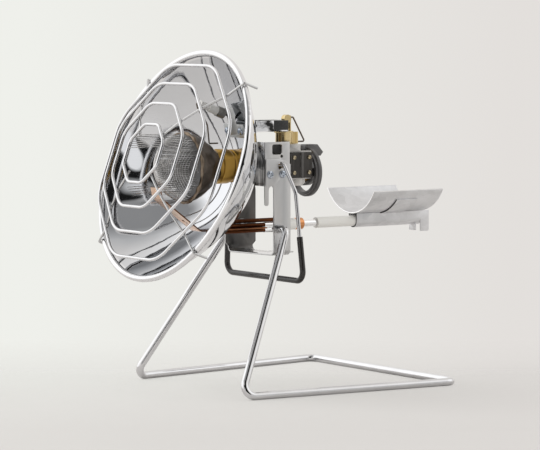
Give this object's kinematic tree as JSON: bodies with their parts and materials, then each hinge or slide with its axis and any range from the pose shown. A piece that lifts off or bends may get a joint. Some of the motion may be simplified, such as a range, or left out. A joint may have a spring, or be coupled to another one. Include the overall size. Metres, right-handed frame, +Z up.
{
  "type": "portable gas patio heater",
  "caption": "Gas heater head with a tilted mirror dish, wire guard, mesh burner, valve and igniter, on a folding bent-rod stand with a bail handle and a cartridge cradle.",
  "frame": {"origin": "on the floor, under the middle of the heater's box, in its plane of symmetry", "axes": "-Y is the way the dish faces, +X is the side with the governor cover, +Z is up"},
  "size_m": [0.2692, 0.3927, 0.3626],
  "materials": {
    "mirror_steel": "mirror polished",
    "chrome_wire": "bright plated",
    "zinc_plate": "dull zinc plated",
    "screw_steel": "blue zinc plated",
    "galvanised": "galvanised with a faint spangle",
    "pale_tube": "satin",
    "bright_rod": "bright drawn",
    "copper": "heat-toned copper",
    "brass": "satin brass",
    "burner_steel": "heat-darkened",
    "die_cast": "as cast",
    "dark_cover": "satin",
    "black_plastic": "moulded",
    "black_rubber": "matte",
    "ceramic": "glazed"
  },
  "bodies": {
    "head": {"bracket_screws": "screw_steel", "burner_cup": "burner_steel", "burner_flange_ring": "burner_steel", "burner_mesh_dome": "burner_steel", "burner_neck": "brass", "copper_collar": "copper", "copper_rods": "copper", "copper_strip": "copper", "cover_screws": "brass", "diaphragm": "black_rubber", "dish_spacer_ring": "zinc_plate", "electrode_arm": "zinc_plate", "electrode_collar": "burner_steel", "electrode_insulator": "ceramic", "electrode_plate": "zinc_plate", "electrode_screws": "screw_steel", "electrode_wire": "screw_steel", "gas_jet": "brass", "governor_body": "die_cast", "governor_cover": "dark_cover", "governor_plug": "die_cast", "guard_ring_inner": "chrome_wire", "guard_ring_second": "chrome_wire", "guard_ring_third": "chrome_wire", "guard_ring_outer": "chrome_wire", "guard_spokes": "chrome_wire", "igniter_body": "black_plastic", "igniter_bracket": "zinc_plate", "igniter_lead": "black_rubber", "inner_rod": "bright_rod", "latch_block": "black_plastic", "leg_bracket": "zinc_plate", "link_wire": "screw_steel", "neck_nut": "brass", "outlet_pipe": "brass", "reflector_dish": "mirror_steel", "rod_ferrules": "brass", "rod_socket": "pale_tube", "valve_body": "brass", "valve_bracket": "zinc_plate", "valve_post": "brass"},
    "stand": {"stand_rod_frame": "chrome_wire", "pivot_caps": "zinc_plate"},
    "bail": {"bail_wire": "chrome_wire", "bail_grip": "black_rubber"},
    "inlet_wheel": {"inlet_coupling": "brass", "inlet_seal": "black_rubber", "coupling_wheel": "black_plastic"},
    "gas_knob": {"knob_spindle": "brass", "control_knob": "black_plastic"},
    "spark_button": {"igniter_button": "black_plastic"},
    "cradle": {"booster_tube": "pale_tube", "cradle_sleeve": "galvanised", "cradle_trough": "galvanised"}
  },
  "joints": [
    {"name": "stand_fold", "type": "hinge", "parent": "head", "child": "stand", "pos_m": [0, -0.031, 0.171], "axis": [1, 0, 0], "range_deg": [-25, 90]},
    {"name": "bail_swing", "type": "hinge", "parent": "head", "child": "bail", "pos_m": [0, -0.028, 0.24], "axis": [1, 0, 0], "range_deg": [-13.33, 48]},
    {"name": "wheel_turn", "type": "hinge", "parent": "head", "child": "inlet_wheel", "pos_m": [0, 0.03, 0.2288], "axis": [0, 1, 0], "continuous": true},
    {"name": "knob_turn", "type": "hinge", "parent": "head", "child": "gas_knob", "pos_m": [-0.026, 0.012, 0.24], "axis": [-1, 0, 0], "range_deg": [0, 270]},
    {"name": "button_press", "type": "slide", "parent": "head", "child": "spark_button", "axis": [1, 0, 0], "range_m": [0, 0.0045], "stiffness_N_per_m": 600},
    {"name": "cradle_slide", "type": "slide", "parent": "head", "child": "cradle", "axis": [0, 1, 0], "range_m": [-0.018, 0.003]}
  ],
  "couplings": [
    {"joint": "bail_swing", "follows": "stand_fold", "ratio": 0.5333}
  ]
}
